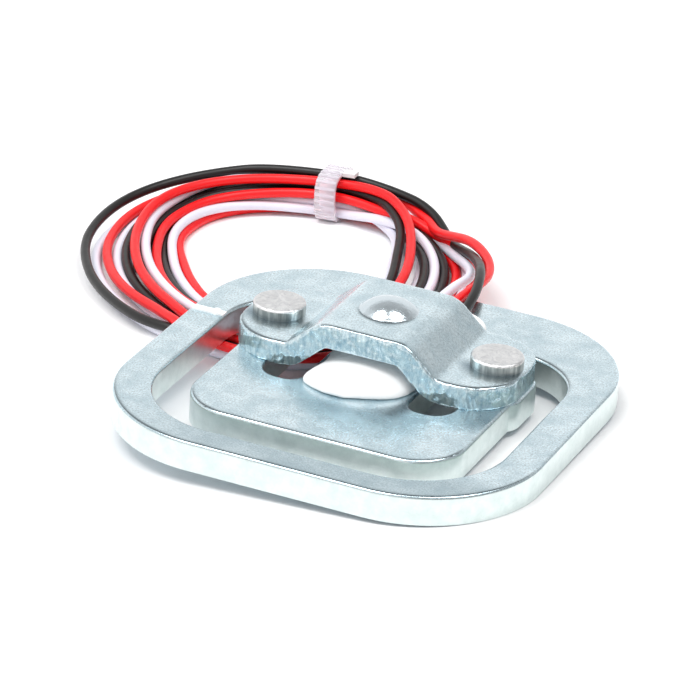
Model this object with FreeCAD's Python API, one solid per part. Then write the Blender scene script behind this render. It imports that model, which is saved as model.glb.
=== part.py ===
"""Half-bridge load cell of the flat kind that sits in the feet of body scales.

Millimetres, +Z up. The origin is the centre of the outer frame's underside, X runs along the
load bridge and Y towards the side where the three leads come out. The cell is made level, in its
own frame. It lies on its own coiled leads, so the table under it leans, and so does the coil.
"""

import FreeCAD
import Part
import math
import os

V = FreeCAD.Vector
Z = V(0, 0, 1)

# Spring plate: one stamping with an outer frame, a U-shaped tongue and the gauge bar between.
plate_side = 34.0
plate_thickness = 2.3
outer_corner_r = 10.0
side_rail = 2.95
front_rail = 2.6
back_rail = 7.2
window_front_r = 7.6
window_back_r = 5.5
gap = 3.0
tongue_corner_r = 4.2
arm_end_r = 1.6
ear_step = 0.45
ear_length = 6.4
bar_width = 8.8
arm_slot = 3.4
slot_front = -3.5
root_fillet_r = 1.2
edge_round = 0.25

# Load bridge: a strip bent up in the middle, with round corners and a pressed load button.
bridge_length = 23.0
bridge_depth = 10.2
bridge_sheet = 1.85
bridge_x = -0.15
bridge_y = 3.5
bridge_corner_r = 4.0
bridge_rise = 2.3
lug_foot = 6.2
platform_half = 3.6
bend_inner_r = 0.5
bridge_edge_round = 0.2
button_d = 3.8
button_height = 0.95
dimple_d = 3.0
dimple_depth = 0.8

# Rivets through the bridge's lugs and the tongue's ears.
rivet_pitch = 18.15
rivet_head_d = 4.1
rivet_head_height = 0.85
rivet_edge_r = 0.22
rivet_shank_d = 2.6

# Gauge, its solder joints and the silicone over them.
gauge_size = (6.8, 4.6, 0.1)
gauge_y = 2.6
joint_d = 1.2
joint_height = 0.9
# Cross-sections of the silicone bead: y, left edge, right edge, height.
bead_sections = [
    (-4.6, -1.6, 0.0, 0.25),
    (-4.1, -3.1, 0.9, 0.75),
    (-3.3, -4.1, 2.5, 1.2),
    (-1.9, -4.1, 3.8, 1.55),
    (1.5, -4.0, 4.0, 1.9),
    (6.5, -3.8, 4.1, 1.7),
    (10.0, -3.0, 4.8, 1.35),
    (12.4, -2.2, 4.6, 1.1),
    (13.8, -1.2, 3.2, 0.5),
]
smear_y = 4.1
smear_width = 0.7
smear_height = 0.15
smear_drop_r = 0.42

# How the table lies under the level cell: it touches the frame's front right corner.
lean_deg = 3.3
lean_towards_deg = -23.3

# Leads and their coil. The coil is given on the table, before it leans. Angles run from +X.
wire_d = 0.8
coil_centre = (-18.5, 21.5)
# Every 30 degrees: how far the outermost and innermost turn's middles lie from the coil's centre,
# and how high the turns pile up. They bulge under the cell and are gathered at the tie.
coil_ring = [
    (18.0, 10.4, 1.6), (17.9, 10.3, 2.2), (17.2, 11.6, 3.1), (16.9, 13.8, 3.65),
    (18.0, 13.4, 3.55), (18.0, 11.0, 3.3), (16.1, 8.4, 2.7), (14.6, 7.3, 2.2),
    (14.0, 7.2, 1.8), (15.8, 9.0, 1.8), (19.0, 12.3, 1.5), (18.3, 11.8, 1.4),
]
coil_sections = 36
tie_at_deg = 93.0
tie_width = 1.8
tie_band = 0.35
tie_corner_r = 1.1
tie_corner_share = 0.4
tie_tail_length = 3.0
tie_tail_width = 1.3
# Points of each lead from its solder joint to the coil.
lead_routes = {
    "lead_white": [
        (-0.9, 9.4, 2.75), (-0.5, 13.9, 2.78), (-0.4, 17.6, 2.74), (-0.4, 20.4, 2.2),
        (-1.3, 23.5, 1.4), (-3.1, 26.9, 0.3), (-5.4, 30.2, -0.8), (-8.0, 33.0, -1.2),
    ],
    "lead_red": [
        (0.6, 9.4, 2.75), (0.7, 13.9, 2.8), (1.0, 17.6, 2.76), (1.0, 21.0, 2.4),
        (0.2, 23.7, 2.25), (-1.3, 26.0, 2.2), (-3.4, 28.2, 1.9), (-5.6, 30.3, 0.9),
        (-8.0, 32.4, -0.2),
    ],
    "lead_black": [
        (2.2, 9.4, 2.75), (2.2, 12.8, 2.82), (2.0, 16.2, 3.3), (0.9, 19.8, 3.5),
        (-0.9, 23.8, 2.3), (-3.3, 28.2, 0.7), (-6.4, 32.1, -0.8),
    ],
}

# Derived sizes.
half_side = plate_side / 2
window_half = half_side - side_rail
window_front = -half_side + front_rail
window_back = half_side - back_rail
tongue_half = window_half - gap
tongue_front = window_front + gap
arm_end = window_back - gap
bar_half = bar_width / 2
slot_outer = bar_half + arm_slot
lug_top = plate_thickness + bridge_sheet
platform_top = lug_top + bridge_rise
corner_centre = half_side - outer_corner_r
lean_dir = V(math.cos(math.radians(lean_towards_deg)), math.sin(math.radians(lean_towards_deg)), 0)
touch_point = V(corner_centre, -corner_centre, 0) + lean_dir * outer_corner_r
lean_axis = V(-lean_dir.y, lean_dir.x, 0)


def rounded_block(x0, y0, x1, y1, z0, z1, radii):
    """A block with vertical corners rounded; radii run front left, front right, back right, back left."""
    block = Part.makeBox(x1 - x0, y1 - y0, z1 - z0, V(x0, y0, z0))
    for (x, y), r in zip(((x0, y0), (x1, y0), (x1, y1), (x0, y1)), radii):
        if r > 0:
            corner = [
                e for e in block.Edges
                if all(abs(v.X - x) + abs(v.Y - y) < 1e-6 for v in e.Vertexes)
            ]
            block = block.makeFillet(r, corner)
    return block


def round_top(solid, top, radius, inside=None):
    """Rolls over the edges of a stamped part's flat top face, as the punch leaves them."""
    edges = [
        e for e in solid.Edges
        if all(abs(v.Z - top) < 1e-6 for v in e.Vertexes)
        and abs(e.CenterOfMass.z - top) < 1e-6
        and (inside is None or inside(e.CenterOfMass))
    ]
    return solid.makeFillet(radius, edges)


def on_table(shape):
    """Leans a shape that was made on the level table, about the corner the frame touches it with."""
    shape.rotate(touch_point, lean_axis, -lean_deg)
    return shape


def make_spring_plate():
    deep = plate_thickness + 2
    plate = rounded_block(
        -half_side, -half_side, half_side, half_side, 0, plate_thickness, [outer_corner_r] * 4
    )
    window = rounded_block(
        -window_half, window_front, window_half, window_back, -1, deep,
        [window_front_r, window_front_r, window_back_r, window_back_r],
    )
    tongue = rounded_block(
        -tongue_half, tongue_front, tongue_half, arm_end, -1, deep,
        [tongue_corner_r, tongue_corner_r, arm_end_r, arm_end_r],
    )
    # The ears widen the arms around the rivets.
    ears = rounded_block(
        -tongue_half - ear_step, arm_end - ear_length, tongue_half + ear_step, arm_end, -1, deep,
        [ear_length / 3, ear_length / 3, arm_end_r, arm_end_r],
    )
    # The slots part the bar from the arms and open into the back of the window.
    slots = rounded_block(
        -slot_outer, slot_front, slot_outer, window_back, -1, deep, [arm_slot / 2] * 2 + [0, 0]
    )
    bar = rounded_block(
        -bar_half, slot_front - arm_slot, bar_half, window_back + 1, -1, deep, [0] * 4
    )
    slots = slots.cut(bar)
    foot = [
        e for e in slots.Edges
        if all(abs(abs(v.X) - bar_half) < 1e-6 and abs(v.Y - slot_front) < 1e-6 for v in e.Vertexes)
    ]
    slots = slots.makeFillet(root_fillet_r, foot)
    channel = window.cut(tongue.fuse(ears).cut(slots).fuse(bar))
    plate = plate.cut(channel.removeSplitter())
    for side in (-1, 1):
        hole = Part.makeCylinder(
            rivet_shank_d / 2, deep, V(bridge_x + side * rivet_pitch / 2, bridge_y, -1)
        )
        plate = plate.cut(hole)
    plate = plate.removeSplitter()
    return round_top(
        plate, plate_thickness, edge_round,
        lambda p: min((p - rivet_axis(s, p.z)).Length for s in (-1, 1)) > rivet_shank_d,
    )


def rivet_axis(side, z):
    return V(bridge_x + side * rivet_pitch / 2, bridge_y, z)


def bent_strip(path, sheet, inner_r):
    """The closed edge profile of a sheet bent along a path of (x, z) points of its middle line."""
    pts = [V(x, 0, z) for x, z in path]
    sides = {1: [], -1: []}
    for i, p in enumerate(pts):
        before = (p - pts[i - 1]).normalize() if i else None
        after = (pts[i + 1] - p).normalize() if i < len(pts) - 1 else None
        if before is None or after is None:
            along = before or after
            across = V(-along.z, 0, along.x)
            for s in sides:
                sides[s].append((p + across * (s * sheet / 2),))
            continue
        turn = before.getAngle(after)
        mid_r = inner_r + sheet / 2
        back = mid_r * math.tan(turn / 2)
        start, end = p - before * back, p + after * back
        bow = (after - before).normalize()
        centre = p + bow * (mid_r / math.cos(turn / 2))
        for s in sides:
            across = V(-before.z, 0, before.x)
            r = mid_r - s * sheet / 2 * (1 if across.dot(bow) > 0 else -1)
            sides[s].append((
                centre + (start - centre).normalize() * r,
                centre - bow * r,
                centre + (end - centre).normalize() * r,
            ))
    upper = sides[1]
    lower = [tuple(reversed(c)) for c in reversed(sides[-1])]
    edges, loop = [], upper + lower
    for i, c in enumerate(loop):
        if len(c) == 3:
            edges.append(Part.Arc(*c).toShape())
        nxt = loop[(i + 1) % len(loop)]
        edges.append(Part.LineSegment(c[-1], nxt[0]).toShape())
    return Part.Wire(edges)


def make_bridge():
    lug_mid, platform_mid = lug_top - bridge_sheet / 2, platform_top - bridge_sheet / 2
    # The bends are placed on the top face, so the middle line's corners stand half a sheet lower.
    shift = bridge_sheet / 2 * math.tan(math.atan2(bridge_rise, lug_foot - platform_half) / 2)
    half = bridge_length / 2
    path = [(-half, lug_mid), (-lug_foot + shift, lug_mid), (-platform_half + shift, platform_mid)]
    path += [(-x, z) for x, z in reversed(path)]
    wire = bent_strip(path, bridge_sheet, bend_inner_r)
    strip = Part.Face(wire).extrude(V(0, bridge_depth, 0))
    strip.translate(V(bridge_x, bridge_y - bridge_depth / 2, 0))
    outline = rounded_block(
        bridge_x - half, bridge_y - bridge_depth / 2, bridge_x + half, bridge_y + bridge_depth / 2,
        0, platform_top + 1, [bridge_corner_r] * 4,
    )
    strip = strip.common(outline)
    # The top face's edge follows the bends, so it is rolled over as one tangent chain.
    drop = bridge_edge_round / 2
    rim = [
        e for e in strip.Edges
        if e.CenterOfMass.z > lug_top - drop and on_strip_top(e) and not across_strip(e)
    ]
    strip = strip.makeFillet(bridge_edge_round, rim)
    # The load button is pressed up from below and stays the sheet's thickness or a little less.
    strip = strip.fuse(spherical_cap(button_d, button_height, platform_top))
    strip = strip.cut(spherical_cap(dimple_d, dimple_depth, platform_top - bridge_sheet))
    for side in (-1, 1):
        axis = rivet_axis(side, 0)
        strip = strip.cut(Part.makeCylinder(rivet_shank_d / 2, platform_top, axis))
    return strip.removeSplitter()


def spherical_cap(width, height, z):
    """A cap that rises from the level z on the load button's axis."""
    ball_r = (width ** 2 / 4 + height ** 2) / (2 * height)
    ball = Part.makeSphere(ball_r, V(bridge_x, bridge_y, z + height - ball_r))
    above = Part.makeCylinder(width, height + ball_r, V(bridge_x, bridge_y, z))
    return ball.common(above)


def on_strip_top(edge):
    """True for an edge of the strip's top face: nothing of the profile lies above it."""
    p = edge.CenterOfMass
    x = abs(p.x - bridge_x)
    if x > lug_foot:
        return abs(p.z - lug_top) < bridge_sheet / 2
    if x < platform_half:
        return abs(p.z - platform_top) < bridge_sheet / 2
    slope = lug_top + (lug_foot - x) / (lug_foot - platform_half) * bridge_rise
    return abs(p.z - slope) < bridge_sheet / 2


def across_strip(edge):
    """True for the bend lines, which run across the strip inside its faces."""
    a, b = edge.Vertexes[0].Point, edge.Vertexes[-1].Point
    straight = abs(a.x - b.x) < 1e-6 and abs(a.z - b.z) < 1e-6
    return straight and abs(abs(a.x - bridge_x) - bridge_length / 2) > bridge_corner_r / 2


def make_rivet(side):
    head = Part.makeCylinder(rivet_head_d / 2, rivet_head_height, rivet_axis(side, lug_top))
    head = round_top(head, lug_top + rivet_head_height, rivet_edge_r)
    shank = Part.makeCylinder(rivet_shank_d / 2, lug_top, rivet_axis(side, 0))
    return head.fuse(shank).removeSplitter()


def make_gauge():
    w, d, t = gauge_size
    return Part.makeBox(w, d, t, V(-w / 2, gauge_y - d / 2, plate_thickness))


def make_joint(route):
    x, y, _ = route[0]
    joint = Part.makeCylinder(joint_d / 2, joint_height, V(x, y, plate_thickness))
    return round_top(joint, plate_thickness + joint_height, joint_d / 4)


def make_bead():
    """The silicone laid along the bar and over the joints, as a loft of half ellipses."""
    wires = []
    for y, left, right, height in bead_sections:
        mid, half = (left + right) / 2, (right - left) / 2
        c = V(mid, y, plate_thickness)
        ellipse = Part.Ellipse(c + V(half, 0, 0), c + V(0, 0, height), c)
        dome = Part.ArcOfEllipse(ellipse, 0, math.pi).toShape()
        ends = [dome.Vertexes[1].Point, dome.Vertexes[0].Point]
        wires.append(Part.Wire([dome, Part.LineSegment(*ends).toShape()]))
    return Part.makeLoft(wires, True, False)


def make_smear():
    """A thin run of silicone across the left rail, ending in a drop at the window."""
    run = Part.makeBox(
        side_rail - edge_round, smear_width, smear_height,
        V(-half_side + edge_round, smear_y - smear_width / 2, plate_thickness),
    )
    at = V(-window_half - smear_drop_r - edge_round, smear_y, plate_thickness)
    drop = Part.makeSphere(smear_drop_r, at)
    return run.fuse(drop.common(Part.makeCylinder(2 * smear_drop_r, smear_drop_r, at)))


def tube_path(name, points):
    """Straight runs joined by the largest tangent arcs that the runs allow. Prints the radii."""
    pts = [V(*p) for p in points]
    edges, at, radii = [], pts[0], []
    for i in range(1, len(pts) - 1):
        a, b, c = pts[i - 1:i + 2]
        into, out = (b - a), (c - b)
        run = 0.45 * min(into.Length, out.Length)
        into.normalize()
        out.normalize()
        turn = into.getAngle(out)
        radii.append(run / math.tan(turn / 2))
        start, end = b - into * run, b + out * run
        bow = (out - into).normalize()
        sag = radii[-1] * (1 / math.cos(turn / 2) - 1)
        edges.append(Part.LineSegment(at, start).toShape())
        edges.append(Part.Arc(start, b + bow * sag, end).toShape())
        at = end
    edges.append(Part.LineSegment(at, pts[-1]).toShape())
    print(name, "radii", [round(r, 1) for r in radii])
    return Part.Wire(edges)


def make_lead(name, points):
    path = tube_path(name, points)
    along = path.Edges[0].tangentAt(path.Edges[0].FirstParameter)
    ring = Part.Wire([Part.makeCircle(wire_d / 2, V(*points[0]), along)])
    tube = path.makePipeShell([ring], True, False, 1)
    if tube.Volume < 0:
        tube.reverse()
    section = math.pi * wire_d ** 2 / 4
    print(name, "length", round(path.Length, 1), "volume ratio", round(tube.Volume / section / path.Length, 4))
    return tube


def coil_outline(angle):
    """The coil's inner radius, outer radius and height at an angle, on a smooth curve through the ring."""
    place = angle % 360 * len(coil_ring) / 360
    k = int(place)
    t = place - k
    before, here, after, beyond = (coil_ring[(k + i) % len(coil_ring)] for i in (-1, 0, 1, 2))
    values = []
    for a, b, c, d in zip(before, here, after, beyond):
        leave, arrive = (c - a) / 2, (d - b) / 2
        bend = 3 * (c - b) - 2 * leave - arrive
        values.append(b + t * (leave + t * (bend + t * (2 * (b - c) + leave + arrive))))
    outer, inner, height = values
    return inner - wire_d / 2, outer + wire_d / 2, height


def coil_point(angle, r, z):
    a = math.radians(angle)
    return V(coil_centre[0] + r * math.cos(a), coil_centre[1] + r * math.sin(a), z)


def coil_section(angle):
    inner, outer, height = coil_outline(angle)
    b = wire_d / 2
    corners = [
        (inner + b, 0), (outer - b, 0), (outer, b), (outer, height - b),
        (outer - b, height), (inner + b, height), (inner, height - b), (inner, b),
    ]
    return Part.makePolygon([coil_point(angle, r, z) for r, z in corners + corners[:1]])


def make_coil():
    """The outer shape of all the turns: flat under the cell, gathered into a bundle at the tie."""
    rings = [coil_section(360 * i / coil_sections) for i in range(coil_sections)]
    return Part.makeLoft(rings, True, True, True)


def tie_block(grow):
    """The bundle's rounded outline at the tie, made larger by grow and as deep as the band is wide."""
    inner, outer, height = coil_outline(tie_at_deg)
    half = (outer - inner) / 2 + grow
    block = rounded_block(
        -tie_width / 2, -half, tie_width / 2, half, tie_band - grow, height + grow, [0] * 4
    )
    along = [
        e for e in block.Edges
        if abs(e.Vertexes[0].Y - e.Vertexes[-1].Y) + abs(e.Vertexes[0].Z - e.Vertexes[-1].Z) < 1e-6
    ]
    block = block.makeFillet(min(tie_corner_r, (outer - inner) * tie_corner_share) + grow, along)
    block.rotate(V(0, 0, 0), Z, tie_at_deg - 90)
    block.translate(coil_point(tie_at_deg, (inner + outer) / 2, 0))
    return block


def make_tie():
    """A clear band round the bundle, with its free end along the top."""
    inner, outer, height = coil_outline(tie_at_deg)
    band = tie_block(tie_band).cut(tie_block(0))
    tail = Part.makeBox(tie_tail_length, tie_tail_width, tie_band, V(0, -tie_tail_width / 2, height))
    tail.rotate(V(0, 0, 0), Z, tie_at_deg - 90)
    tail.translate(coil_point(tie_at_deg, (inner + outer) / 2, 0))
    return band.fuse(tail).removeSplitter()


def main():
    parts = {
        "spring_plate": make_spring_plate(),
        "load_bridge": make_bridge(),
        "rivet_left": make_rivet(-1),
        "rivet_right": make_rivet(1),
        "strain_gauge": make_gauge(),
        "silicone_smear": make_smear(),
    }
    tie = make_tie()
    coil = make_coil().cut(tie)
    parts["coil_tie"], parts["lead_coil"] = on_table(tie), on_table(coil)
    bead = make_bead().cut(parts["strain_gauge"])
    for name, route in lead_routes.items():
        joint = make_joint(route)
        lead = make_lead(name, route).cut(joint).cut(parts["lead_coil"])
        lead = max(lead.Solids, key=lambda s: s.Volume)
        bead = bead.cut(joint).cut(lead)
        parts[name] = lead
        parts[name.replace("lead", "joint")] = joint
    parts["silicone_bead"] = max(bead.Solids, key=lambda s: s.Volume)

    os.makedirs("parts", exist_ok=True)
    for name, shape in parts.items():
        solids = shape.Solids
        print(name, "valid", shape.isValid(), "solids", len(solids), "volume", round(shape.Volume, 3))
        solids[0].exportStep(os.path.join("parts", name + ".step"))


main()
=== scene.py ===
import math
import bmesh
import bpy
import numpy as np
from mathutils import Matrix, Quaternion, Vector, noise


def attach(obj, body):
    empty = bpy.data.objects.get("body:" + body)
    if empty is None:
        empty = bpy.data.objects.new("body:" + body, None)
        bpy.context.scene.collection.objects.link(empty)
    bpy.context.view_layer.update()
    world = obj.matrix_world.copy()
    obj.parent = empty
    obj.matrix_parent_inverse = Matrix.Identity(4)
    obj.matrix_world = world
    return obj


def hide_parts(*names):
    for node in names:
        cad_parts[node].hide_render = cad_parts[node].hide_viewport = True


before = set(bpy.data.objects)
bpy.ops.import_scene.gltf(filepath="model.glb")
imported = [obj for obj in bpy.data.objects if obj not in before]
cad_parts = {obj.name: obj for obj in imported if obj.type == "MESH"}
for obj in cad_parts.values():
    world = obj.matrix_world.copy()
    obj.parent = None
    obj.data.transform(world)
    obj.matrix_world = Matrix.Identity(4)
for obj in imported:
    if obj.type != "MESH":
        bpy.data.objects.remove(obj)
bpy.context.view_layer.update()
mm = 0.001

# The view: a small product seen from the front right, a quarter of the way up,
# through a long lens held with a slight roll.
eye = Vector((0.1121, -0.2758, 0.1473))
aim = Vector((-0.0021, 0.0010, 0.0036))
roll = math.radians(3.98)
camera_data = bpy.data.cameras.new("product_view")
camera_data.lens = 225.0
camera_data.sensor_width = 36.0
camera = bpy.data.objects.new("product_view", camera_data)
camera.rotation_mode = "QUATERNION"
camera.rotation_quaternion = (aim - eye).to_track_quat("-Z", "Y") @ Quaternion((0, 0, 1), roll)
camera.location = eye
bpy.context.scene.collection.objects.link(camera)
bpy.context.scene.camera = camera

# The table under the part. The coil lies under the back of the frame, so the
# cell rests on the coil and on its own front right corner, and seen from the
# cell the table leans away from that corner.
lean = math.radians(3.3)
low_side = math.radians(-23.3)
low_direction = Vector((math.cos(low_side), math.sin(low_side), 0.0))
touch = Vector((7 * mm, -7 * mm, 0.0)) + low_direction * 10 * mm
tip = Matrix.Rotation(-lean, 4, Vector((-low_direction.y, low_direction.x, 0.0)))
table = Matrix.Translation(touch) @ tip @ Matrix.Translation(-touch)

# Three PVC-covered leads, each 0.8 mm over the insulation. They leave the
# silicone side by side, cross the back of the frame and drop to the table.
# Each then makes three and a half loose turns or more, and a tie holds them all.
wire = 0.8 * mm
lead_routes = {
    "white": [(-0.9, 9.4, 2.75), (-0.5, 13.9, 2.78), (-0.4, 17.6, 2.74), (-0.4, 20.4, 2.2),
              (-1.3, 23.5, 1.4), (-3.1, 26.9, 0.3), (-5.4, 30.2, -0.8), (-8.0, 33.0, -1.2)],
    "red": [(0.6, 9.4, 2.75), (0.7, 13.9, 2.8), (1.0, 17.6, 2.76), (1.0, 21.0, 2.4),
            (0.2, 23.7, 2.25), (-1.3, 26.0, 2.2), (-3.4, 28.2, 1.9), (-5.6, 30.3, 0.9),
            (-8.0, 32.4, -0.2)],
    "black": [(2.2, 9.4, 2.75), (2.2, 12.8, 2.82), (2.0, 16.2, 3.3), (0.9, 19.8, 3.5),
              (-0.9, 23.8, 2.3), (-3.3, 28.2, 0.7), (-6.4, 32.1, -0.8)],
}
lead_routes = {name: [Vector(p) * mm for p in route] for name, route in lead_routes.items()}

# The coil, seen from above: the outermost and innermost strand's distance from
# its middle, every 30 degrees from +X.
coil_centre = (-18.5, 21.5)
coil_ring = [(18.0, 10.4), (17.9, 10.3), (17.2, 11.6), (16.9, 13.8), (17.5, 13.4), (17.0, 10.5),
             (15.4, 7.7), (14.0, 6.8), (14.0, 7.2), (15.8, 9.0), (19.0, 12.3), (18.3, 11.8)]
# How far in each strand lies, from 0 outermost to 1 innermost, three times a
# turn: on the left, under the cell and on the right.
lanes = {
    "black": [0.0, 0.22, 0.45, 0.60, 0.70, 0.93, 0.42, 0.50, 0.60, 0.80],
    "red": [0.24, 0.0, 0.05, 0.74, 0.80, 0.80, 0.50, 0.33, 0.36, 0.97],
    "white": [0.64, 0.60, 0.70, 0.09, 0.12, 0.27, 0.36, 0.42, 0.55, 0.86, 0.90, 1.0, 0.52],
}
lane_from = (150, 285, 350)
lane_until = (250, 305, 390)
cut_end = {"black": 262 + 3 * 360, "red": 262 + 3 * 360, "white": 200 + 4 * 360}
# Where each pass sits in the tied bundle: across, in wires from its middle
# inwards, and up, in rows above the lowest.
tie_angle = 93.0
tie_radius = 15.35
bundle_place = {
    "white": [(-1.1, 3.1), (-1.0, 0.0), (-1.0, 1.9), (1.0, 0.1), (0.45, 0.95)],
    "red": [(-1.6, 2.6), (1.0, 2.2), (0.3, 3.5), (0.0, 0.0)],
    "black": [(-0.75, 4.15), (0.0, 1.8), (0.0, 2.7), (-0.55, 0.95)],
}
# How high each pass starts from away from the tie, before it settles.
start_height = {
    "white": [2.6, 0.5, 1.0, 2.2, 0.5],
    "red": [1.3, 1.8, 2.8, 1.2],
    "black": [0.8, 0.6, 0.9, 0.6],
}
row_height = 0.63
lowest_row = 0.75
station = 5
half_wire = wire / mm / 2
touching = wire / mm * 1.01
# Under the cell the strands stay below its underside. Past its edge they may rise.
cell_reach = 17.4
underside_room = 0.45

strands = []
ring_table = np.array(coil_ring)
for name, route in lead_routes.items():
    start = (table.inverted() @ route[-1]) / mm
    start_x, start_y = start.x - coil_centre[0], start.y - coil_centre[1]
    start_angle = math.degrees(math.atan2(start_y, start_x))
    start_radius = math.hypot(start_x, start_y)
    angle = np.arange(math.ceil(start_angle / station + 0.5) * station, cut_end[name] + 1, station)
    # the ring's two radii at each station, on a smooth closed curve
    sector = (angle % 360) / 30
    k = np.floor(sector).astype(int)
    s = (sector - k)[:, None]
    before, here, after, beyond = (ring_table[(k + i) % 12] for i in (-1, 0, 1, 2))
    ring = (here * (2 * s**3 - 3 * s**2 + 1) + after * (3 * s**2 - 2 * s**3)
            + (after - before) / 2 * (s**3 - 2 * s**2 + s) + (beyond - here) / 2 * (s**3 - s**2))
    # the lane holds along the left and the right, and changes smoothly between
    first = (ring[0, 0] - start_radius) / (ring[0, 0] - ring[0, 1])
    lane = np.full(len(angle), first)
    leave = 45
    for i, value in enumerate(lanes[name]):
        turn = 360 * (i // 3)
        t = np.clip((angle - leave) / (turn + lane_from[i % 3] - leave), 0, 1)
        leave = turn + lane_until[i % 3]
        lane += (value - lane) * (t * t * (3 - 2 * t))
    strands.append({
        "name": name, "angle": angle, "start": (start_radius, start.z),
        "radius": ring[:, 0] + (ring[:, 1] - ring[:, 0]) * lane,
        "turn": ((angle - tie_angle + 180) // 360).astype(int),
    })

# The strands settle together: each is drawn to its lane and down to the table,
# pushed as far from the others as it is thick, and bent evenly. In the last steps
# only the tie still draws them, which lets most of what overlaps ease apart.
settling_steps, drawn_steps = 620, 500
tie_grip, lane_pull, sinking, tie_lift = 0.4, 0.02, 0.05, 0.25
angle = np.concatenate([strand["angle"] for strand in strands])
wanted = np.concatenate([strand["radius"] for strand in strands])
places = np.array([bundle_place[s["name"]][turn] for s in strands for turn in s["turn"]])
height = np.array([start_height[s["name"]][turn] for s in strands for turn in s["turn"]])
counts = np.cumsum([0] + [len(strand["angle"]) for strand in strands])
previous = np.arange(len(angle)) - 1
following = np.arange(len(angle)) + 1
previous[counts[:-1]] = counts[:-1]
following[counts[1:] - 1] = counts[1:] - 1
from_tie = (angle - tie_angle + 180) % 360 - 180
near = np.exp(-(from_tie / np.where(from_tie > 0, 50.0, 36.0)) ** 2)
held = np.clip(1 - (np.abs(from_tie) - 4) / 10, 0, 1)
tie_r = tie_radius - places[:, 0] * wire / mm
tie_z = lowest_row + places[:, 1] * row_height
wanted = wanted * (1 - near) + tie_r * near
height = tie_z * near + (1 - near) * height
radius = wanted.copy()
plane = (angle % 360) // station
pairs = []
for p in range(360 // station):
    members = np.flatnonzero(plane == p)
    a, b = np.triu_indices(len(members), 1)
    pairs.append((members[a], members[b]))
one, other = (np.concatenate(side) for side in zip(*pairs))
cosine, sine = np.cos(np.radians(angle)), np.sin(np.radians(angle))
for step in range(settling_steps):
    finishing = step >= drawn_steps
    radius += (wanted - radius) * (tie_grip * held + (0.0 if finishing else lane_pull))
    height += (tie_z - height) * tie_grip * held
    if not finishing:
        height -= sinking * (1 - near * 0.8)
        height += np.clip(half_wire + (tie_z - half_wire) * near - height, 0, None) * tie_lift * near
    for strand, first in zip(strands, counts):
        radius[first], height[first] = strand["start"]
        wanted[first] = radius[first]
    free = 1 - 0.7 * held if finishing else 1.0
    for smoothing in range(3):
        drift = radius - wanted
        radius += 0.5 * ((drift[previous] + drift[following]) / 2 - drift) * free
        height += 0.5 * ((height[previous] + height[following]) / 2 - height) * free
    for pushing in range(4):
        across, up = radius[other] - radius[one], height[other] - height[one]
        distance = np.hypot(across, up) + 1e-9
        push = np.maximum(touching - distance, 0) * 0.5 / distance
        move_r, move_z, hits = np.zeros((3, len(radius)))
        np.add.at(move_r, one, -across * push)
        np.add.at(move_r, other, across * push)
        np.add.at(move_z, one, -up * push)
        np.add.at(move_z, other, up * push)
        np.add.at(hits, one, push > 0)
        np.add.at(hits, other, push > 0)
        share = (0.75 if finishing else 1.44) / np.maximum(hits, 1.5)
        radius += move_r * share
        height += move_z * share
        x, y = coil_centre[0] + radius * cosine, coil_centre[1] + radius * sine
        outside = np.maximum(np.maximum(np.abs(x), np.abs(y)) - cell_reach, 0)
        uphill = (touch.x / mm - x) * low_direction.x + (touch.y / mm - y) * low_direction.y
        ceiling = uphill * math.tan(lean) - underside_room + underside_room * outside
        height = np.minimum(np.maximum(height, half_wire), ceiling)

def srgb(code):
    """A hex colour as the linear colour that a shader takes."""
    parts = [int(code[i:i + 2], 16) / 255 for i in (1, 3, 5)]
    return [p / 12.92 if p < 0.04045 else ((p + 0.055) / 1.055) ** 2.4 for p in parts] + [1.0]

def add_node(owner, kind, inputs=None, **settings):
    """Adds a node to a material, a world or a tree. An input takes a constant or a node's output."""
    tree = getattr(owner, "node_tree", owner)
    node = tree.nodes.new(kind)
    for key, value in settings.items():
        setattr(node, key, value)
    for key, value in (inputs or {}).items():
        if isinstance(value, bpy.types.NodeSocket):
            tree.links.new(value, node.inputs[key])
        else:
            node.inputs[key].default_value = value
    return node

# Inside each lead are seven fine copper strands, one in the middle and six
# round it. They just show at the cut end, bright where they were nipped off.
strand_radius, strand_ring_radius, strand_length = 0.085 * mm, 0.17 * mm, 0.5 * mm
copper = bpy.data.materials.new("bare_copper_strands")
copper.use_nodes = True
shader = copper.node_tree.nodes["Principled BSDF"]
shader.inputs["Base Color"].default_value = srgb("#B4603E")
shader.inputs["Metallic"].default_value = 1.0
shader.inputs["Roughness"].default_value = 0.35
copper_tree = bpy.data.node_groups.new("seven_copper_strands", "GeometryNodeTree")
for size in ("Strand radius", "Ring radius", "Length"):
    copper_tree.interface.new_socket(size, in_out="INPUT", socket_type="NodeSocketFloat")
copper_tree.interface.new_socket("Geometry", in_out="OUTPUT", socket_type="NodeSocketGeometry")
given = add_node(copper_tree, "NodeGroupInput").outputs
six = add_node(copper_tree, "GeometryNodeMeshCircle", {"Vertices": 6, "Radius": given["Ring radius"]})
seven = add_node(copper_tree, "GeometryNodeJoinGeometry", {"Geometry": six.outputs["Mesh"]})
copper_tree.links.new(add_node(copper_tree, "GeometryNodePoints").outputs[0], seven.inputs["Geometry"])
one_strand = add_node(copper_tree, "GeometryNodeMeshCylinder", {
    "Vertices": 10, "Radius": given["Strand radius"], "Depth": given["Length"]})
laid = add_node(copper_tree, "GeometryNodeInstanceOnPoints", {
    "Points": seven.outputs["Geometry"], "Instance": one_strand.outputs["Mesh"]})
real = add_node(copper_tree, "GeometryNodeRealizeInstances", {"Geometry": laid.outputs["Instances"]})
coppered = add_node(copper_tree, "GeometryNodeSetMaterial", {
    "Geometry": real.outputs["Geometry"], "Material": copper})
add_node(copper_tree, "NodeGroupOutput", {"Geometry": coppered.outputs["Geometry"]})

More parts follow.
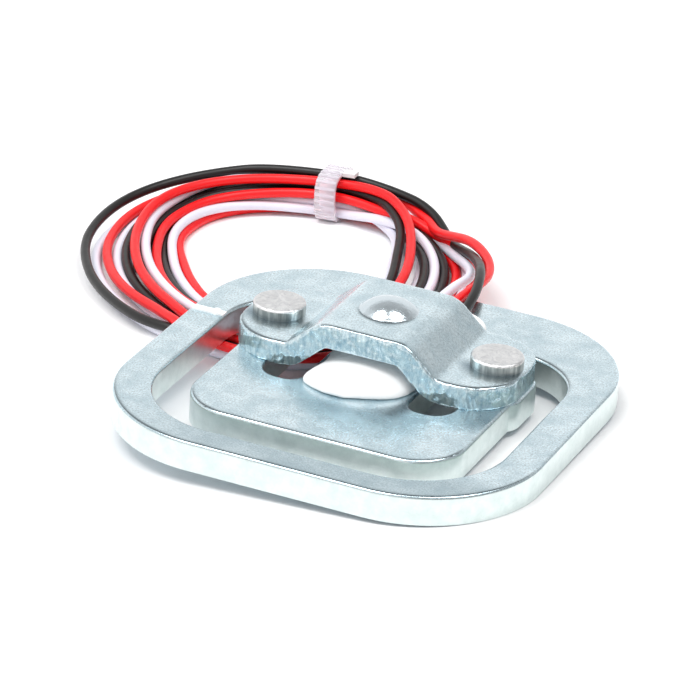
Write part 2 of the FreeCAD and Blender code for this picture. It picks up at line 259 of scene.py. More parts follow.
def grown(name, tree, sizes, start=None):
    """The plain mesh that a geometry tree makes from its sizes and a starting mesh."""
    maker = bpy.data.objects.new(name, start or bpy.data.meshes.new(name))
    bpy.context.scene.collection.objects.link(maker)
    modifier = maker.modifiers.new("tree", "NODES")
    modifier.node_group = tree
    for socket in tree.interface.items_tree:
        if socket.in_out == "INPUT" and socket.name in sizes:
            modifier[socket.identifier] = sizes[socket.name]
    maker.data.update()
    mesh = bpy.data.meshes.new_from_object(maker.evaluated_get(bpy.context.evaluated_depsgraph_get()))
    bpy.data.objects.remove(maker)
    mesh.name = name
    return mesh

core_mesh = grown("cut_end", copper_tree, {
    "Strand radius": strand_radius, "Ring radius": strand_ring_radius, "Length": strand_length})

# The three leads as the turns have settled. Each is flexible insulation, extruded
# over its copper, with a bare cut end that lies loose in the coil.
insulation_colour = {"white": "#E8E8F5", "red": "#F60F16", "black": "#151414"}
for strand, first, last in zip(strands, counts, counts[1:]):
    name = strand["name"]
    x = coil_centre[0] + radius[first + 1:last] * cosine[first + 1:last]
    y = coil_centre[1] + radius[first + 1:last] * sine[first + 1:last]
    points = lead_routes[name] + [table @ (Vector(p) * mm) for p in zip(x, y, height[first + 1:last])]
    curve = bpy.data.curves.new(f"lead_{name}_cord", "CURVE")
    curve.dimensions = "3D"
    spline = curve.splines.new("NURBS")
    spline.points.add(len(points) - 1)
    for control, point in zip(spline.points, points):
        control.co = (*point, 1.0)
    spline.order_u = 3
    spline.use_endpoint_u = True
    spline.resolution_u = 4
    curve.bevel_depth = wire / 2
    curve.bevel_resolution = 5
    curve.use_fill_caps = True
    cord = bpy.data.objects.new(f"lead_{name}_cord", curve)
    bpy.context.scene.collection.objects.link(cord)
    # PVC as it leaves the extruder: a soft sheen, with faint streaks in it
    pvc = bpy.data.materials.new(f"{name}_pvc_insulation")
    pvc.use_nodes = True
    shader = pvc.node_tree.nodes["Principled BSDF"]
    place = add_node(pvc, "ShaderNodeTexCoord").outputs["Object"]
    streaks = add_node(pvc, "ShaderNodeTexNoise", {"Vector": place, "Scale": 1.5 / mm, "Detail": 3.0})
    sheen = add_node(pvc, "ShaderNodeMapRange", {
        "Value": streaks.outputs["Fac"], "To Min": 0.3, "To Max": 0.5})
    skin = add_node(pvc, "ShaderNodeBump", {
        "Height": streaks.outputs["Fac"], "Strength": 0.1, "Distance": 0.03 * mm})
    pvc.node_tree.links.new(sheen.outputs["Result"], shader.inputs["Roughness"])
    pvc.node_tree.links.new(skin.outputs["Normal"], shader.inputs["Normal"])
    shader.inputs["Base Color"].default_value = srgb(insulation_colour[name])
    curve.materials.append(pvc)
    along = (points[-1] - points[-2]).normalized()
    cut = bpy.data.objects.new(f"{name}_cut_end", core_mesh.copy())
    cut.data.name = f"{name}_cut_end"
    cut.data.transform(Matrix.Translation(points[-1]) @ along.to_track_quat("Z", "Y").to_matrix().to_4x4())
    bpy.context.scene.collection.objects.link(cut)
    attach(cut, "root")
    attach(cord, "root")
    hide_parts(f"lead_{name}")
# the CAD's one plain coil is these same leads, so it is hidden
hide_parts("lead_coil")

# The tie: a clear nylon band with fine cross ribs, closed loosely round the
# bundle, with its short free end pointing along the coil.
band_width, band_thick = 1.8 * mm, 0.32 * mm
hole_across, hole_up = 2.0 * mm, 1.77 * mm
hole_middle = 2.12 * mm
tail_length, tail_width, tail_reach = 1.3 * mm, 1.0 * mm, 1.35 * mm
rib_count, rib_width, rib_depth = 26, 0.25 * mm, 0.1 * mm
loop_steps, squareness = 96, 3.2
# natural nylon, moulded: clear but milky
nylon = bpy.data.materials.new("natural_nylon")
nylon.use_nodes = True
shader = nylon.node_tree.nodes["Principled BSDF"]
shader.inputs["Base Color"].default_value = srgb("#F6F0F8")
shader.inputs["Roughness"].default_value = 0.42
shader.inputs["Transmission Weight"].default_value = 0.45
shader.inputs["IOR"].default_value = 1.3
# the middle of the band's thickness, as a closed line: an ellipse pushed out
# towards its corners
loop_points = []
for i in range(loop_steps):
    a = 2 * math.pi * i / loop_steps
    fullness = (abs(math.cos(a)) ** squareness + abs(math.sin(a)) ** squareness) ** (-1 / squareness)
    loop_points.append((math.cos(a) * fullness * (hole_across + band_thick / 2),
                        math.sin(a) * fullness * (hole_up + band_thick / 2), 0.0))
loop = bpy.data.meshes.new("tie_line")
loop.from_pydata(loop_points, [(i, (i + 1) % loop_steps) for i in range(loop_steps)], [])
# the tree sweeps the band along that line and sets the ribs on its outside
tie_tree = bpy.data.node_groups.new("ribbed_band", "GeometryNodeTree")
tie_tree.interface.new_socket("Geometry", in_out="INPUT", socket_type="NodeSocketGeometry")
tie_tree.interface.new_socket("Ribs", in_out="INPUT", socket_type="NodeSocketInt")
for size in ("Width", "Thickness"):
    tie_tree.interface.new_socket(size, in_out="INPUT", socket_type="NodeSocketFloat")
tie_tree.interface.new_socket("Rib size", in_out="INPUT", socket_type="NodeSocketVector")
tie_tree.interface.new_socket("Geometry", in_out="OUTPUT", socket_type="NodeSocketGeometry")
given = add_node(tie_tree, "NodeGroupInput").outputs
line = add_node(tie_tree, "GeometryNodeMeshToCurve", {"Mesh": given["Geometry"]})
upright = add_node(tie_tree, "GeometryNodeSetCurveNormal", {"Curve": line.outputs["Curve"]}, mode="Z_UP")
section = add_node(tie_tree, "GeometryNodeCurvePrimitiveQuadrilateral", {
    "Width": given["Thickness"], "Height": given["Width"]})
band = add_node(tie_tree, "GeometryNodeCurveToMesh", {
    "Curve": upright.outputs["Curve"], "Profile Curve": section.outputs["Curve"]})
rib_line = add_node(tie_tree, "GeometryNodeResampleCurve", {
    "Curve": line.outputs["Curve"], "Count": given["Ribs"]})
half_thick = add_node(tie_tree, "ShaderNodeMath", {0: given["Thickness"], 1: -0.5}, operation="MULTIPLY")
outwards = add_node(tie_tree, "ShaderNodeCombineXYZ", {"Y": half_thick.outputs["Value"]})
rib = add_node(tie_tree, "GeometryNodeMeshCube", {"Size": given["Rib size"]})
rib_out = add_node(tie_tree, "GeometryNodeTransform", {
    "Geometry": rib.outputs["Mesh"], "Translation": outwards.outputs["Vector"]})
tangent = add_node(tie_tree, "GeometryNodeInputTangent")
turn = add_node(tie_tree, "FunctionNodeAlignRotationToVector", {
    "Vector": tangent.outputs["Tangent"]}, axis="X", pivot_axis="Z")
ribs = add_node(tie_tree, "GeometryNodeInstanceOnPoints", {
    "Points": rib_line.outputs["Curve"], "Instance": rib_out.outputs["Geometry"],
    "Rotation": turn.outputs["Rotation"]})
ribbed = add_node(tie_tree, "GeometryNodeJoinGeometry", {"Geometry": band.outputs["Mesh"]})
tie_tree.links.new(ribs.outputs["Instances"], ribbed.inputs["Geometry"])
real = add_node(tie_tree, "GeometryNodeRealizeInstances", {"Geometry": ribbed.outputs["Geometry"]})
clear = add_node(tie_tree, "GeometryNodeSetMaterial", {
    "Geometry": real.outputs["Geometry"], "Material": nylon})
add_node(tie_tree, "NodeGroupOutput", {"Geometry": clear.outputs["Geometry"]})
tie_mesh = grown("ribbed_tie_band", tie_tree, {
    "Ribs": rib_count, "Width": band_width, "Thickness": band_thick,
    "Rib size": (rib_width, rib_depth, band_width)}, loop)
# the free end, and the whole tie set round the bundle on the leaning table
tie_out = Vector((math.cos(math.radians(tie_angle)), math.sin(math.radians(tie_angle)), 0.0))
tie_along = Vector((-tie_out.y, tie_out.x, 0.0))
tie_middle = Vector((coil_centre[0] * mm, coil_centre[1] * mm, hole_middle)) + tie_out * tie_radius * mm
tie_turn = Matrix((tie_out, Vector((0, 0, 1)), -tie_along)).transposed().to_4x4()
whole = bmesh.new()
whole.from_mesh(tie_mesh)
for vert in bmesh.ops.create_cube(whole, size=1.0)["verts"]:
    p = vert.co.copy()
    vert.co = Vector((p.x * tail_width, hole_up + band_thick * (0.5 + p.y), tail_reach + p.z * tail_length))
whole.transform(table @ Matrix.Translation(tie_middle) @ tie_turn)
bmesh.ops.recalc_face_normals(whole, faces=whole.faces)
whole.to_mesh(tie_mesh)
whole.free()
tie = bpy.data.objects.new("ribbed_tie_band", tie_mesh)
bpy.context.scene.collection.objects.link(tie)
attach(tie, "root")
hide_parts("coil_tie")

# Bright zinc on the sheet faces: blue-white, finely grained and specked, with soft
# clouds and shallow waves from rolling. Painted reflections on it: the bridge greying the front
# rail, the rivets' dark sides on the lug, the bridge edge by the silicone, a dark band where the front
# edges roll over.
button_axis = Vector((-0.15 * mm, 3.5 * mm, 0.0))
rivet_pitch = 18.15 * mm
sheet_zinc = bpy.data.materials.new("bright_zinc_on_sheet")
sheet_zinc.use_nodes = True
shader = sheet_zinc.node_tree.nodes["Principled BSDF"]
link = sheet_zinc.node_tree.links.new
shader.inputs["Metallic"].default_value = 1.0
place = add_node(sheet_zinc, "ShaderNodeTexCoord").outputs["Object"]
clouds = add_node(sheet_zinc, "ShaderNodeTexNoise", {
    "Vector": place, "Scale": 0.52 / mm, "Detail": 6.0, "Roughness": 0.66})
grain = add_node(sheet_zinc, "ShaderNodeTexNoise", {
    "Vector": place, "Scale": 6.5 / mm, "Detail": 2.0, "Roughness": 0.6})
waves = add_node(sheet_zinc, "ShaderNodeTexNoise", {"Vector": place, "Scale": 0.26 / mm, "Detail": 2.0})
specks = add_node(sheet_zinc, "ShaderNodeTexVoronoi", {"Vector": place, "Scale": 1.7 / mm})
speck = add_node(sheet_zinc, "ShaderNodeMapRange", {
    "Value": specks.outputs["Distance"], "From Min": 0.05, "From Max": 0.2, "To Min": 0.62, "To Max": 1.0})
cloudy = add_node(sheet_zinc, "ShaderNodeValToRGB", {"Fac": clouds.outputs["Fac"]})
cloudy.color_ramp.elements[0].position, cloudy.color_ramp.elements[0].color = 0.34, srgb("#CDE1E9")
cloudy.color_ramp.elements[1].position, cloudy.color_ramp.elements[1].color = 0.64, srgb("#E3F3F9")
grained = add_node(sheet_zinc, "ShaderNodeMapRange", {
    "Value": grain.outputs["Fac"], "From Min": 0.38, "From Max": 0.6, "To Min": 0.84, "To Max": 1.06})
# a colour mix takes its share at socket 0 and its two colours at sockets 6 and 7
dust = add_node(sheet_zinc, "ShaderNodeMix", {
    0: 1.0, 6: cloudy.outputs["Color"],
    7: grained.outputs["Result"]}, data_type="RGBA", blend_type="MULTIPLY")
specked = add_node(sheet_zinc, "ShaderNodeMix", {
    0: 0.6, 6: dust.outputs[2], 7: speck.outputs["Result"]}, data_type="RGBA", blend_type="MULTIPLY")
where = add_node(sheet_zinc, "ShaderNodeSeparateXYZ", {"Vector": place})
# painted reflection of the bridge: the front rail greyed, fading out towards its left corner
front = add_node(sheet_zinc, "ShaderNodeMapRange", {
    "Value": where.outputs["Y"], "From Min": -11.2 * mm, "From Max": -12.8 * mm})
middle = add_node(sheet_zinc, "ShaderNodeMapRange", {
    "Value": where.outputs["X"], "From Min": -15 * mm, "From Max": -6 * mm, "To Max": 0.42})
rail_reflection_share = add_node(sheet_zinc, "ShaderNodeMath", {
    0: front.outputs["Result"], 1: middle.outputs["Result"]}, operation="MULTIPLY")
painted_rail_reflection = add_node(sheet_zinc, "ShaderNodeMix", {
    0: rail_reflection_share.outputs["Value"], 6: specked.outputs[2], 7: srgb("#8FA3AB")}, data_type="RGBA")
# a painted dark crescent in front of each rivet on the lug: the reflection of the rivet's dark side
from_middle = add_node(sheet_zinc, "ShaderNodeMath", {
    0: where.outputs["X"], 1: -button_axis.x}, operation="ADD")
either_side = add_node(sheet_zinc, "ShaderNodeMath", {
    0: from_middle.outputs["Value"]}, operation="ABSOLUTE")
lug_place = add_node(sheet_zinc, "ShaderNodeCombineXYZ", {
    "X": either_side.outputs["Value"], "Y": where.outputs["Y"]})
from_rivet = add_node(sheet_zinc, "ShaderNodeVectorMath", {
    0: lug_place.outputs["Vector"],
    1: (rivet_pitch / 2, button_axis.y - 0.25 * mm, 0.0)}, operation="DISTANCE")
round_rivet = add_node(sheet_zinc, "ShaderNodeMapRange", {
    "Value": from_rivet.outputs["Value"], "From Min": 2.1 * mm, "From Max": 3.1 * mm,
    "To Min": 0.8, "To Max": 0.0})
before_rivet = add_node(sheet_zinc, "ShaderNodeMapRange", {
    "Value": where.outputs["Y"], "From Min": 3.6 * mm, "From Max": 2.2 * mm})
on_lug = add_node(sheet_zinc, "ShaderNodeMath", {
    0: where.outputs["Z"], 1: 3.6 * mm}, operation="GREATER_THAN")
crescent = add_node(sheet_zinc, "ShaderNodeMath", {
    0: round_rivet.outputs["Result"], 1: before_rivet.outputs["Result"]}, operation="MULTIPLY")
rivet_reflection_share = add_node(sheet_zinc, "ShaderNodeMath", {
    0: crescent.outputs["Value"], 1: on_lug.outputs["Value"]}, operation="MULTIPLY")
painted_rivet_reflection = add_node(sheet_zinc, "ShaderNodeMix", {
    0: rivet_reflection_share.outputs["Value"], 6: painted_rail_reflection.outputs[2], 7: srgb("#6B808C")}, data_type="RGBA")
# painted reflections of the bridge's torn edge: bluish patches on the tongue in front of the silicone
from_silicone = add_node(sheet_zinc, "ShaderNodeVectorMath", {
    0: place, 1: (1.2 * mm, -3.2 * mm, 2.3 * mm)}, operation="DISTANCE")
near_silicone = add_node(sheet_zinc, "ShaderNodeMapRange", {
    "Value": from_silicone.outputs["Value"], "From Min": 1.5 * mm, "From Max": 5.5 * mm,
    "To Min": 1.0, "To Max": 0.0})
patchy = add_node(sheet_zinc, "ShaderNodeMapRange", {
    "Value": waves.outputs["Fac"], "From Min": 0.4, "From Max": 0.6, "To Min": 0.75, "To Max": 0.1})
edge_reflection_share = add_node(sheet_zinc, "ShaderNodeMath", {
    0: near_silicone.outputs["Result"], 1: patchy.outputs["Result"]}, operation="MULTIPLY")
painted_edge_reflection = add_node(sheet_zinc, "ShaderNodeMix", {
    0: edge_reflection_share.outputs["Value"], 6: painted_rivet_reflection.outputs[2], 7: srgb("#84A9B8")}, data_type="RGBA")
# a painted dark reflection on the rolled-over rim: where the surface is flat but its rounded normal leans
# forward
rollover = add_node(sheet_zinc, "ShaderNodeBevel", {"Radius": 0.6 * mm}, samples=8)
leaning = add_node(sheet_zinc, "ShaderNodeSeparateXYZ", {"Vector": rollover.outputs["Normal"]})
flat = add_node(sheet_zinc, "ShaderNodeSeparateXYZ", {
    "Vector": add_node(sheet_zinc, "ShaderNodeNewGeometry").outputs["True Normal"]})
level = add_node(sheet_zinc, "ShaderNodeMath", {0: flat.outputs["Z"], 1: 0.93}, operation="GREATER_THAN")
rim = add_node(sheet_zinc, "ShaderNodeMapRange", {
    "Value": leaning.outputs["Y"], "From Min": -0.02, "From Max": -0.22, "To Min": 0.0, "To Max": 0.8})
rim_reflection_share = add_node(sheet_zinc, "ShaderNodeMath", {
    0: rim.outputs["Result"], 1: level.outputs["Value"]}, operation="MULTIPLY")
painted_rim_reflection = add_node(sheet_zinc, "ShaderNodeMix", {
    0: rim_reflection_share.outputs["Value"], 6: painted_edge_reflection.outputs[2], 7: srgb("#59666C")}, data_type="RGBA")
link(painted_rim_reflection.outputs[2], shader.inputs["Base Color"])
dullness = add_node(sheet_zinc, "ShaderNodeMapRange", {
    "Value": clouds.outputs["Fac"], "From Min": 0.36, "From Max": 0.62, "To Min": 0.3, "To Max": 0.22})
link(dullness.outputs["Result"], shader.inputs["Roughness"])
wavy = add_node(sheet_zinc, "ShaderNodeBump", {
    "Height": waves.outputs["Fac"], "Strength": 0.3, "Distance": 0.2 * mm})
relief = add_node(sheet_zinc, "ShaderNodeBump", {
    "Height": grain.outputs["Fac"], "Strength": 0.25, "Distance": 0.02 * mm,
    "Normal": wavy.outputs["Normal"]})
link(relief.outputs["Normal"], shader.inputs["Normal"])

# The load button is the same plating, burnished by the press: nearly a mirror,
# with a slight haze from its fine pits.
button_zinc = bpy.data.materials.new("burnished_button")
button_zinc.use_nodes = True
shader = button_zinc.node_tree.nodes["Principled BSDF"]
link = button_zinc.node_tree.links.new
shader.inputs["Base Color"].default_value = srgb("#D0DBE1")
shader.inputs["Metallic"].default_value = 0.75
shader.inputs["Roughness"].default_value = 0.16
place = add_node(button_zinc, "ShaderNodeTexCoord").outputs["Object"]
pits = add_node(button_zinc, "ShaderNodeTexNoise", {"Vector": place, "Scale": 3.0 / mm, "Detail": 3.0})
pitted = add_node(button_zinc, "ShaderNodeBump", {
    "Height": pits.outputs["Fac"], "Strength": 0.55, "Distance": 0.04 * mm})
link(pitted.outputs["Normal"], shader.inputs["Normal"])

# The same plating on the blanked edges: fine upright drag marks, and greener
# because the plating is thin there.
edge_zinc = bpy.data.materials.new("zinc_on_blanked_edges")
edge_zinc.use_nodes = True
shader = edge_zinc.node_tree.nodes["Principled BSDF"]
link = edge_zinc.node_tree.links.new
shader.inputs["Metallic"].default_value = 1.0
shader.inputs["Roughness"].default_value = 0.3
place = add_node(edge_zinc, "ShaderNodeTexCoord").outputs["Object"]
upright = add_node(edge_zinc, "ShaderNodeMapping", {"Vector": place, "Scale": (1.0, 1.0, 0.1)})
drag = add_node(edge_zinc, "ShaderNodeTexNoise", {
    "Vector": upright.outputs["Vector"], "Scale": 5.2 / mm, "Detail": 3.0})
patches = add_node(edge_zinc, "ShaderNodeTexNoise", {
    "Vector": place, "Scale": 0.9 / mm, "Detail": 5.0, "Roughness": 0.65})
tone = add_node(edge_zinc, "ShaderNodeValToRGB", {"Fac": patches.outputs["Fac"]})
tone.color_ramp.elements[0].position, tone.color_ramp.elements[0].color = 0.35, srgb("#D6E2E0")
tone.color_ramp.elements[1].position, tone.color_ramp.elements[1].color = 0.65, srgb("#E6F0EE")
link(tone.outputs["Color"], shader.inputs["Base Color"])
marks = add_node(edge_zinc, "ShaderNodeBump", {
    "Height": drag.outputs["Fac"], "Strength": 0.4, "Distance": 0.04 * mm})
link(marks.outputs["Normal"], shader.inputs["Normal"])

# The bridge's cropped edge: torn and sparkling, with slanting tear marks and
# coarse broken facets, bluer than the sheet.
torn_zinc = bpy.data.materials.new("zinc_on_torn_edge")
torn_zinc.use_nodes = True
shader = torn_zinc.node_tree.nodes["Principled BSDF"]
link = torn_zinc.node_tree.links.new
shader.inputs["Metallic"].default_value = 1.0
shader.inputs["Roughness"].default_value = 0.24
place = add_node(torn_zinc, "ShaderNodeTexCoord").outputs["Object"]
slanted = add_node(torn_zinc, "ShaderNodeMapping", {
    "Vector": place, "Rotation": (0.0, 0.3, 0.0), "Scale": (1.0, 1.0, 0.3)})
lumpy = add_node(torn_zinc, "ShaderNodeTexNoise", {"Vector": place, "Scale": 0.7 / mm, "Detail": 3.0})
tears = add_node(torn_zinc, "ShaderNodeTexNoise", {
    "Vector": slanted.outputs["Vector"], "Scale": 3.2 / mm, "Detail": 5.0, "Roughness": 0.75})
swell = add_node(torn_zinc, "ShaderNodeBump", {
    "Height": lumpy.outputs["Fac"], "Strength": 1.0, "Distance": 0.16 * mm})
torn = add_node(torn_zinc, "ShaderNodeBump", {
    "Height": tears.outputs["Fac"], "Strength": 0.6, "Distance": 0.05 * mm,
    "Normal": swell.outputs["Normal"]})
link(torn.outputs["Normal"], shader.inputs["Normal"])
shade = add_node(torn_zinc, "ShaderNodeValToRGB", {"Fac": tears.outputs["Fac"]})
shade.color_ramp.elements[0].position, shade.color_ramp.elements[0].color = 0.3, srgb("#94B5C6")
shade.color_ramp.elements[1].position, shade.color_ramp.elements[1].color = 0.62, srgb("#E2F1F4")
link(shade.outputs["Color"], shader.inputs["Base Color"])

# The frame plate gets the sheet finish on its faces and the edge finish on its
# upright walls.
plate_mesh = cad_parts["spring_plate"].data
plate_mesh.materials.clear()
plate_mesh.materials.append(sheet_zinc)
plate_mesh.materials.append(edge_zinc)
for face in plate_mesh.polygons:
    face.material_index = 1 if abs(face.normal.z) < 0.35 else 0

# The load bridge: a cropped strip of the same sheet, bent up in the middle. Its
# bends are soft, its cropped edge is torn, and its button is drawn up wide.
button_foot, button_reach, button_spread = 6.4 * mm, 1.95 * mm, 1.2
polished_foot, polished_reach = 6.46 * mm, 2.3 * mm
bridge = bpy.data.objects.new("cropped_load_bridge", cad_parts["load_bridge"].data.copy())
bpy.context.scene.collection.objects.link(bridge)
strip = bmesh.new()
strip.from_mesh(bridge.data)
bmesh.ops.remove_doubles(strip, verts=strip.verts, dist=0.001 * mm)
for vert in strip.verts:
    away = vert.co - button_axis
    if vert.co.z > button_foot and math.hypot(away.x, away.y) < button_reach:
        vert.co.x += away.x * (button_spread - 1)
        vert.co.y += away.y * (button_spread - 1)
strip.to_mesh(bridge.data)
strip.free()
rebuild = bridge.modifiers.new("rebuild", "REMESH")
rebuild.mode = "VOXEL"
rebuild.voxel_size = 0.1 * mm
rebuild.use_smooth_shade = True
soften = bridge.modifiers.new("soften", "SMOOTH")
soften.iterations = 5
soften.factor = 0.5
bridge_mesh = bpy.data.meshes.new_from_object(bridge.evaluated_get(bpy.context.evaluated_depsgraph_get()))
bridge_mesh.name = "cropped_load_bridge"
bridge.modifiers.clear()
bridge.data = bridge_mesh
normals = [vert.normal.copy() for vert in bridge_mesh.vertices]
for vert, normal in zip(bridge_mesh.vertices, normals):
    if abs(normal.z) < 0.6:
        p = vert.co / mm
        tear = noise.noise(p * 0.7) * 0.08 + noise.noise(p * 2.0) * 0.05
        tear += noise.noise(Vector((p.x + p.z * 0.3, p.y, p.z * 0.25)) * 5.0) * 0.035
        vert.co += normal * (tear * mm)
bridge_mesh.materials.clear()
for finish in (sheet_zinc, torn_zinc, button_zinc):
    bridge_mesh.materials.append(finish)
for face in bridge_mesh.polygons:
    away = face.center - button_axis
    face.material_index = 1 if abs(face.normal.z) < 0.55 else 0
    if face.center.z > polished_foot and math.hypot(away.x, away.y) < polished_reach:
        face.material_index = 2
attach(bridge, "root")
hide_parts("load_bridge")

# Rivets: plain steel, tumbled, warmer and duller than the zinc. The heads are
# peened and swirled on top and drag-marked round the side.
rivet_metal = bpy.data.materials.new("tumbled_rivet_steel")
rivet_metal.use_nodes = True
shader = rivet_metal.node_tree.nodes["Principled BSDF"]
link = rivet_metal.node_tree.links.new
shader.inputs["Metallic"].default_value = 1.0
place = add_node(rivet_metal, "ShaderNodeTexCoord").outputs["Object"]
dents = add_node(rivet_metal, "ShaderNodeTexNoise", {
    "Vector": place, "Scale": 1.1 / mm, "Detail": 5.0, "Roughness": 0.65, "Distortion": 2.5})
steel = add_node(rivet_metal, "ShaderNodeValToRGB", {"Fac": dents.outputs["Fac"]})
steel.color_ramp.elements[0].position, steel.color_ramp.elements[0].color = 0.36, srgb("#DCDDDF")
steel.color_ramp.elements[1].position, steel.color_ramp.elements[1].color = 0.6, srgb("#F7F7F7")
link(steel.outputs["Color"], shader.inputs["Base Color"])
satin = add_node(rivet_metal, "ShaderNodeMapRange", {
    "Value": dents.outputs["Fac"], "To Min": 0.2, "To Max": 0.44})
link(satin.outputs["Result"], shader.inputs["Roughness"])
dented = add_node(rivet_metal, "ShaderNodeBump", {
    "Height": dents.outputs["Fac"], "Strength": 0.6, "Distance": 0.12 * mm})
link(dented.outputs["Normal"], shader.inputs["Normal"])
# the side: the same steel drawn darker than the top as painted shade, streaked with drag marks
rivet_side = bpy.data.materials.new("drag_marks_and_painted_shade_rivet_side")
rivet_side.use_nodes = True
shader = rivet_side.node_tree.nodes["Principled BSDF"]
link = rivet_side.node_tree.links.new
shader.inputs["Metallic"].default_value = 1.0
shader.inputs["Roughness"].default_value = 0.3
place = add_node(rivet_side, "ShaderNodeTexCoord").outputs["Object"]
upright = add_node(rivet_side, "ShaderNodeMapping", {"Vector": place, "Scale": (1.0, 1.0, 0.15)})
drag = add_node(rivet_side, "ShaderNodeTexNoise", {
    "Vector": upright.outputs["Vector"], "Scale": 3.6 / mm, "Detail": 3.0})
drag_marks_and_painted_shade = add_node(rivet_side, "ShaderNodeValToRGB", {"Fac": drag.outputs["Fac"]})
drag_marks_and_painted_shade.color_ramp.elements[0].position, drag_marks_and_painted_shade.color_ramp.elements[0].color = 0.38, srgb("#A4A6A4")
drag_marks_and_painted_shade.color_ramp.elements[1].position, drag_marks_and_painted_shade.color_ramp.elements[1].color = 0.64, srgb("#DCDBD6")
link(drag_marks_and_painted_shade.outputs["Color"], shader.inputs["Base Color"])
for node in ("rivet_left", "rivet_right"):
    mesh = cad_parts[node].data
    mesh.materials.clear()
    mesh.materials.append(rivet_metal)
    mesh.materials.append(rivet_side)
    for face in mesh.polygons:
        face.material_index = 1 if abs(face.normal.z) < 0.25 else 0

# Silicone over the gauge, laid by hand: one soft white mass.
silicone = bpy.data.materials.new("white_silicone")
silicone.use_nodes = True
shader = silicone.node_tree.nodes["Principled BSDF"]
link = silicone.node_tree.links.new
shader.inputs["Base Color"].default_value = srgb("#FCFCFC")
shader.inputs["Roughness"].default_value = 0.4
place = add_node(silicone, "ShaderNodeTexCoord").outputs["Object"]
lumps = add_node(silicone, "ShaderNodeTexNoise", {"Vector": place, "Scale": 0.35 / mm, "Detail": 2.0})
soft = add_node(silicone, "ShaderNodeBump", {
    "Height": lumps.outputs["Fac"], "Strength": 0.25, "Distance": 0.3 * mm})
link(soft.outputs["Normal"], shader.inputs["Normal"])
bead = bpy.data.objects.new("silicone_mass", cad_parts["silicone_bead"].data.copy())
bpy.context.scene.collection.objects.link(bead)
merge = bead.modifiers.new("merge", "WELD")
merge.merge_threshold = 0.001 * mm
rebuild = bead.modifiers.new("rebuild", "REMESH")
rebuild.mode = "VOXEL"
rebuild.voxel_size = 0.14 * mm
rebuild.use_smooth_shade = True
slump = bead.modifiers.new("slump", "SMOOTH")
slump.iterations = 14
slump.factor = 0.6
bead_mesh = bpy.data.meshes.new_from_object(bead.evaluated_get(bpy.context.evaluated_depsgraph_get()))
bead_mesh.name = "silicone_mass"
bead.modifiers.clear()
bead.data = bead_mesh
bead_mesh.materials.clear()
bead_mesh.materials.append(silicone)
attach(bead, "root")
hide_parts("silicone_bead")
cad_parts["silicone_smear"].data.materials.clear()
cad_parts["silicone_smear"].data.materials.append(silicone)

# Under the silicone, out of sight, lie the foil gauge on its amber polyimide film
# and three joints of tin solder, bright and smooth where they set.
for nodes, name, colour, metal, dull in (
        (("strain_gauge",), "polyimide_gauge_film", "#B8792E", 0.0, 0.4),
        (("joint_white", "joint_red", "joint_black"), "tin_solder", "#C9C9C6", 1.0, 0.3)):
    finish = bpy.data.materials.new(name)
    finish.use_nodes = True
    shader = finish.node_tree.nodes["Principled BSDF"]
    shader.inputs["Base Color"].default_value = srgb(colour)
    shader.inputs["Metallic"].default_value = metal
    shader.inputs["Roughness"].default_value = dull
    for node in nodes:
        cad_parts[node].data.materials.clear()
        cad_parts[node].data.materials.append(finish)

# The table is white acrylic. The room is a white tent: bright all round and below,
# darker overhead and on the right.
floor_mesh = bpy.data.meshes.new("table_top")
floor_height = -0.02
floor_corners = ((-80, -28), (26, -28), (60, 100), (-80, 100))
floor_points = [table @ (Vector((x, y, floor_height)) * mm) for x, y in floor_corners]
floor_mesh.from_pydata(floor_points, [], [(0, 1, 2, 3)])
floor = bpy.data.objects.new("table_top", floor_mesh)
bpy.context.scene.collection.objects.link(floor)
acrylic = bpy.data.materials.new("white_acrylic")
acrylic.use_nodes = True
shader = acrylic.node_tree.nodes["Principled BSDF"]
shader.inputs["Base Color"].default_value = srgb("#FBFBFC")
shader.inputs["Roughness"].default_value = 0.9
shader.inputs["Specular IOR Level"].default_value = 0.0
floor_mesh.materials.append(acrylic)
world = bpy.data.worlds.new("white_tent")
bpy.context.scene.world = world
world.use_nodes = True
direction = add_node(world, "ShaderNodeTexCoord").outputs["Generated"]
parts = add_node(world, "ShaderNodeSeparateXYZ", {"Vector": direction})
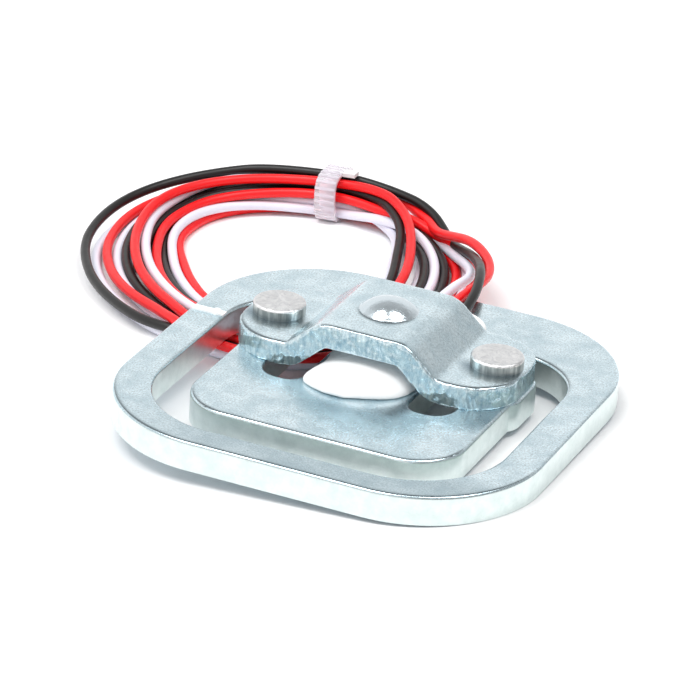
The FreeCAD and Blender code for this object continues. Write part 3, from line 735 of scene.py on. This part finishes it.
# how bright the tent is from the horizon, 0, to straight up, 1: on the viewer's
# side of the part, and behind it
front_levels = ((0.0, 1.0), (0.5, 0.9), (0.74, 1.0), (0.92, 0.25))
back_levels = ((0.0, 1.0), (0.5, 1.02), (0.68, 0.45), (0.92, 0.2))
ramps = []
for stops in (front_levels, back_levels):
    ramp = add_node(world, "ShaderNodeValToRGB", {"Fac": parts.outputs["Z"]})
    while len(ramp.color_ramp.elements) < len(stops):
        ramp.color_ramp.elements.new(0.5)
    for element, (position, level) in zip(ramp.color_ramp.elements, stops):
        element.position, element.color = position, (level, level, level, 1.0)
    ramps.append(ramp.outputs["Color"])
behind = add_node(world, "ShaderNodeMapRange", {
    "Value": parts.outputs["Y"], "From Min": -0.25, "From Max": 0.25})
tent = add_node(world, "ShaderNodeMix", {
    0: behind.outputs["Result"], 6: ramps[0], 7: ramps[1]}, data_type="RGBA")
to_right = add_node(world, "ShaderNodeMapRange", {
    "Value": parts.outputs["X"], "From Min": 0.05, "From Max": 0.45, "To Min": 1.0, "To Max": 0.5})
shaded = add_node(world, "ShaderNodeMix", {
    0: 1.0, 6: tent.outputs[2], 7: to_right.outputs["Result"]}, data_type="RGBA", blend_type="MULTIPLY")
below = add_node(world, "ShaderNodeMapRange", {
    "Value": parts.outputs["Z"], "From Min": 0.0, "From Max": -0.02})
room = add_node(world, "ShaderNodeMix", {
    0: below.outputs["Result"], 6: shaded.outputs[2], 7: (1.2, 1.2, 1.2, 1.0)}, data_type="RGBA")
world.node_tree.links.new(room.outputs[2], world.node_tree.nodes["Background"].inputs["Color"])

# Two soft boxes overhead, side by side as the viewer sees them.
for name, spot, size, power in (
        ("soft_box_left", (-0.150, -0.115, 0.48), 0.27, 1.45),
        ("soft_box_right", (0.170, 0.020, 0.48), 0.27, 1.15)):
    lamp_data = bpy.data.lights.new(name, "AREA")
    lamp_data.size = size
    lamp_data.energy = power
    lamp = bpy.data.objects.new(name, lamp_data)
    lamp.location = spot
    lamp.rotation_mode = "QUATERNION"
    lamp.rotation_quaternion = (Vector((-0.01, 0.01, 0.0)) - Vector(spot)).to_track_quat("-Z", "Y")
    bpy.context.scene.collection.objects.link(lamp)
bpy.context.scene.view_settings.view_transform = "Standard"
